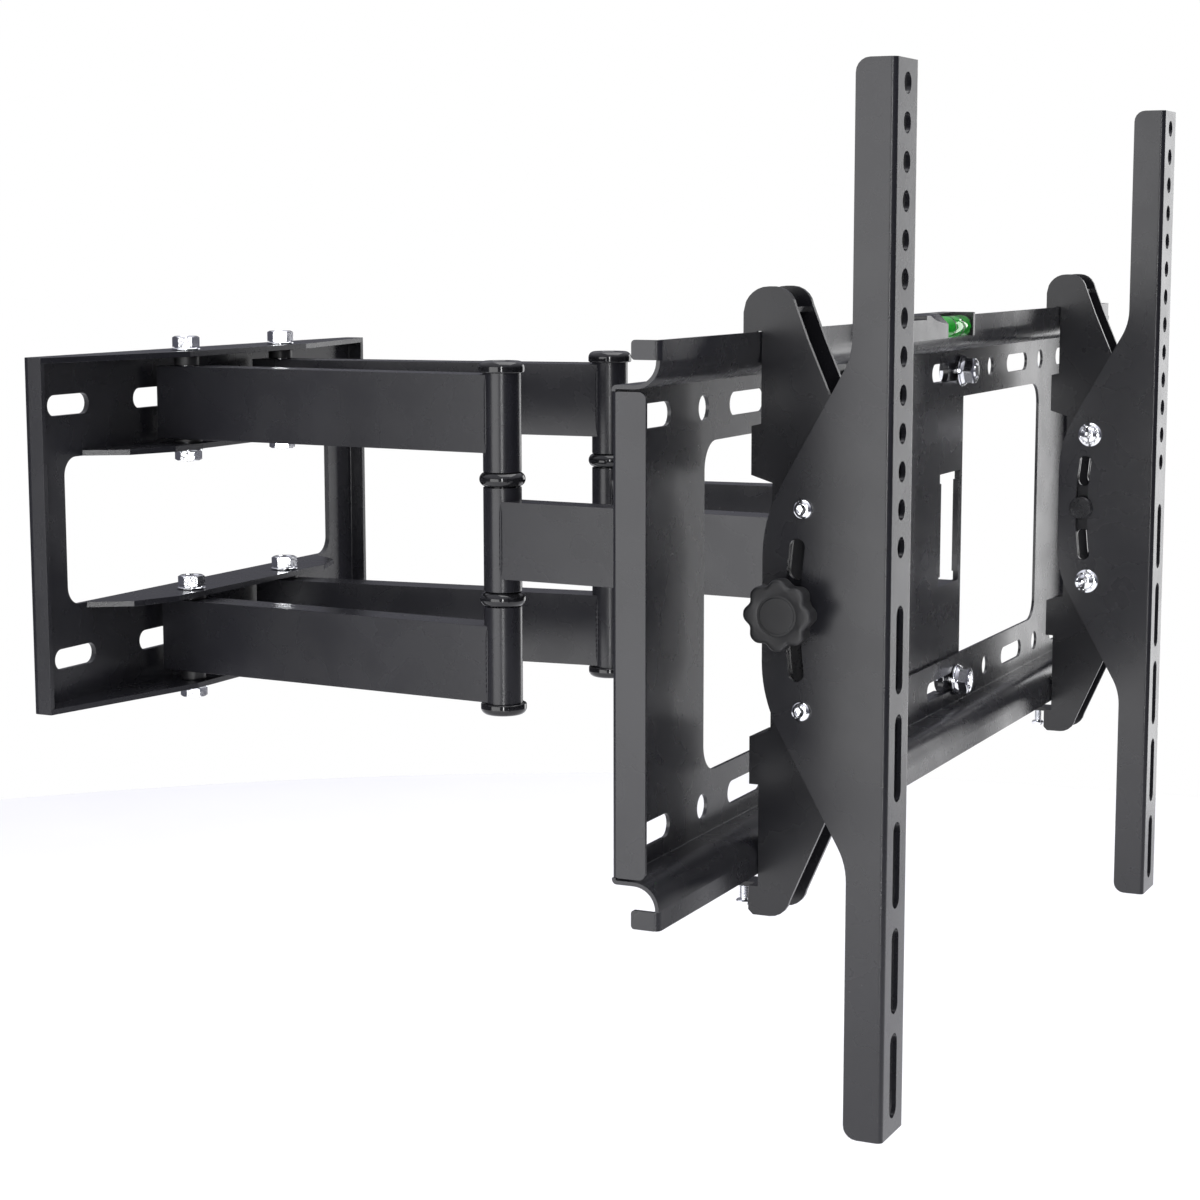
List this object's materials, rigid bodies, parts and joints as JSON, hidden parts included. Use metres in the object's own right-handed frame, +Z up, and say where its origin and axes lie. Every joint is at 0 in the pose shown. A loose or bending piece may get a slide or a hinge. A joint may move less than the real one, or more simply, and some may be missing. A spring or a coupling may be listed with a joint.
{
  "type": "full motion tv wall mount",
  "caption": "Full motion TV wall mount: folded steel wall plate, two folding arm pairs, sliding hook brackets and tilting TV rails.",
  "frame": {"origin": "centre of the wall bolt pattern, on the back face of the wall plate", "axes": "+Y into the wall, +X to the right as seen from the TV side, +Z up; the TV rails face -Y"},
  "size_m": [0.683, 0.502, 0.45],
  "materials": {
    "black_coat": "satin",
    "bright_zinc": "polished",
    "gloss_nylon": "glossy",
    "black_nylon": "matte",
    "black_zinc": "satin",
    "knob_plastic": "matte",
    "level_plastic": "glossy",
    "vial": "clear"
  },
  "bodies": {
    "wall_plate": {"wall_plate": "black_coat"},
    "wall_pivot_left": {"wall_pivot_bolts_left": "bright_zinc", "wall_pivot_nuts_left": "bright_zinc", "wall_pivot_washers_left": "bright_zinc", "wall_pivot_bushes_left": "black_nylon"},
    "wall_arm_left": {"wall_arm_upper_left": "black_coat", "wall_arm_lower_left": "black_coat", "knuckle_pin_left": "bright_zinc", "knuckle_rings_left": "gloss_nylon", "knuckle_caps_left": "gloss_nylon"},
    "front_arm_left": {"front_arm_left": "black_coat"},
    "wall_pivot_right": {"wall_pivot_bolts_right": "bright_zinc", "wall_pivot_nuts_right": "bright_zinc", "wall_pivot_washers_right": "bright_zinc", "wall_pivot_bushes_right": "black_nylon"},
    "wall_arm_right": {"wall_arm_upper_right": "black_coat", "wall_arm_lower_right": "black_coat", "knuckle_pin_right": "bright_zinc", "knuckle_rings_right": "gloss_nylon", "knuckle_caps_right": "gloss_nylon"},
    "front_arm_right": {"front_arm_right": "black_coat"},
    "tv_pivot_left": {"tv_pivot_bolt_left": "bright_zinc", "tv_pivot_nut_left": "bright_zinc", "tv_pivot_bushes_left": "black_nylon"},
    "arm_bracket": {"arm_bracket": "black_coat", "bracket_bolts": "bright_zinc", "bracket_nuts": "bright_zinc", "bracket_washers": "bright_zinc", "tv_pivot_bolt_right": "bright_zinc", "tv_pivot_nut_right": "bright_zinc", "tv_pivot_bushes_right": "black_nylon"},
    "tv_plate": {"tv_plate": "black_coat", "level_housing": "level_plastic", "level_vial": "vial"},
    "hook_bracket_left": {"hook_bracket_left": "black_coat", "knob_stud_left": "black_zinc", "knob_washer_left": "black_nylon"},
    "tv_rail_left": {"tv_rail_left": "black_coat", "tilt_screws_left": "bright_zinc", "tilt_nuts_left": "bright_zinc"},
    "knob_left": {"knob_left": "knob_plastic"},
    "lock_screw_left": {"lock_screw_left": "bright_zinc"},
    "hook_bracket_right": {"hook_bracket_right": "black_coat", "knob_stud_right": "black_zinc", "knob_washer_right": "black_nylon"},
    "tv_rail_right": {"tv_rail_right": "black_coat", "tilt_screws_right": "bright_zinc", "tilt_nuts_right": "bright_zinc"},
    "knob_right": {"knob_right": "knob_plastic"},
    "lock_screw_right": {"lock_screw_right": "bright_zinc"}
  },
  "joints": [
    {"name": "swing_left", "type": "hinge", "parent": "wall_plate", "child": "wall_pivot_left", "pos_m": [-0.0485, -0.0235, 0], "axis": [0, 0, 1], "range_deg": [-10, 10]},
    {"name": "fold_left", "type": "hinge", "parent": "wall_pivot_left", "child": "wall_arm_left", "pos_m": [-0.0485, -0.0235, 0], "axis": [0, 0, -1], "range_deg": [0, 67.5]},
    {"name": "knuckle_left", "type": "hinge", "parent": "wall_arm_left", "child": "front_arm_left", "pos_m": [-0.06571, -0.22878, 0], "axis": [0, 0, -1], "range_deg": [-146.32, 0]},
    {"name": "swing_right", "type": "hinge", "parent": "wall_plate", "child": "wall_pivot_right", "pos_m": [0.0485, -0.0235, 0], "axis": [0, 0, 1], "range_deg": [-10, 10]},
    {"name": "fold_right", "type": "hinge", "parent": "wall_pivot_right", "child": "wall_arm_right", "pos_m": [0.0485, -0.0235, 0], "axis": [0, 0, 1], "range_deg": [0, 67.5]},
    {"name": "knuckle_right", "type": "hinge", "parent": "wall_arm_right", "child": "front_arm_right", "pos_m": [0.06571, -0.22878, 0], "axis": [0, 0, 1], "range_deg": [-146.32, 0]},
    {"name": "tv_fold", "type": "hinge", "parent": "front_arm_left", "child": "tv_pivot_left", "pos_m": [-0.08, -0.39918, 0], "axis": [0, 0, -1], "range_deg": [0, 78.82]},
    {"name": "tv_swing", "type": "hinge", "parent": "tv_pivot_left", "child": "arm_bracket", "pos_m": [-0.08, -0.39918, 0], "axis": [0, 0, 1], "range_deg": [-6.16, 6.16]},
    {"name": "plate_shift", "type": "slide", "parent": "arm_bracket", "child": "tv_plate", "axis": [1, 0, 0], "range_m": [-0.015, 0.033]},
    {"name": "rail_slide_left", "type": "slide", "parent": "tv_plate", "child": "hook_bracket_left", "axis": [1, 0, 0], "range_m": [-0.095, 0.125]},
    {"name": "tilt_left", "type": "hinge", "parent": "hook_bracket_left", "child": "tv_rail_left", "pos_m": [-0.236, -0.66698, 0], "axis": [1, 0, 0], "range_deg": [-6.5, 6.5]},
    {"name": "knob_turn_left", "type": "hinge", "parent": "hook_bracket_left", "child": "knob_left", "pos_m": [-0.254, -0.45998, 0], "axis": [-1, 0, 0], "range_deg": [0, 360]},
    {"name": "lock_turn_left", "type": "hinge", "parent": "hook_bracket_left", "child": "lock_screw_left", "pos_m": [-0.236, -0.43328, -0.128], "axis": [0, 0, 1], "range_deg": [0, 360]},
    {"name": "rail_slide_right", "type": "slide", "parent": "tv_plate", "child": "hook_bracket_right", "axis": [1, 0, 0], "range_m": [-0.13, 0.085]},
    {"name": "tilt_right", "type": "hinge", "parent": "hook_bracket_right", "child": "tv_rail_right", "pos_m": [0.229, -0.66698, 0], "axis": [1, 0, 0], "range_deg": [-6.5, 6.5]},
    {"name": "knob_turn_right", "type": "hinge", "parent": "hook_bracket_right", "child": "knob_right", "pos_m": [0.247, -0.45998, 0], "axis": [1, 0, 0], "range_deg": [0, 360]},
    {"name": "lock_turn_right", "type": "hinge", "parent": "hook_bracket_right", "child": "lock_screw_right", "pos_m": [0.229, -0.43328, -0.128], "axis": [0, 0, 1], "range_deg": [0, 360]}
  ],
  "couplings": [
    {"joint": "knuckle_left", "follows": "fold_left", "ratio": -2.1662},
    {"joint": "knuckle_right", "follows": "fold_left", "ratio": -2.1662},
    {"joint": "fold_right", "follows": "fold_left", "ratio": 1},
    {"joint": "swing_right", "follows": "swing_left", "ratio": 1},
    {"joint": "tv_fold", "follows": "fold_left", "ratio": 1.1662},
    {"joint": "tv_swing", "follows": "swing_left", "ratio": -0.6063},
    {"joint": "tilt_right", "follows": "tilt_left", "ratio": 1}
  ]
}
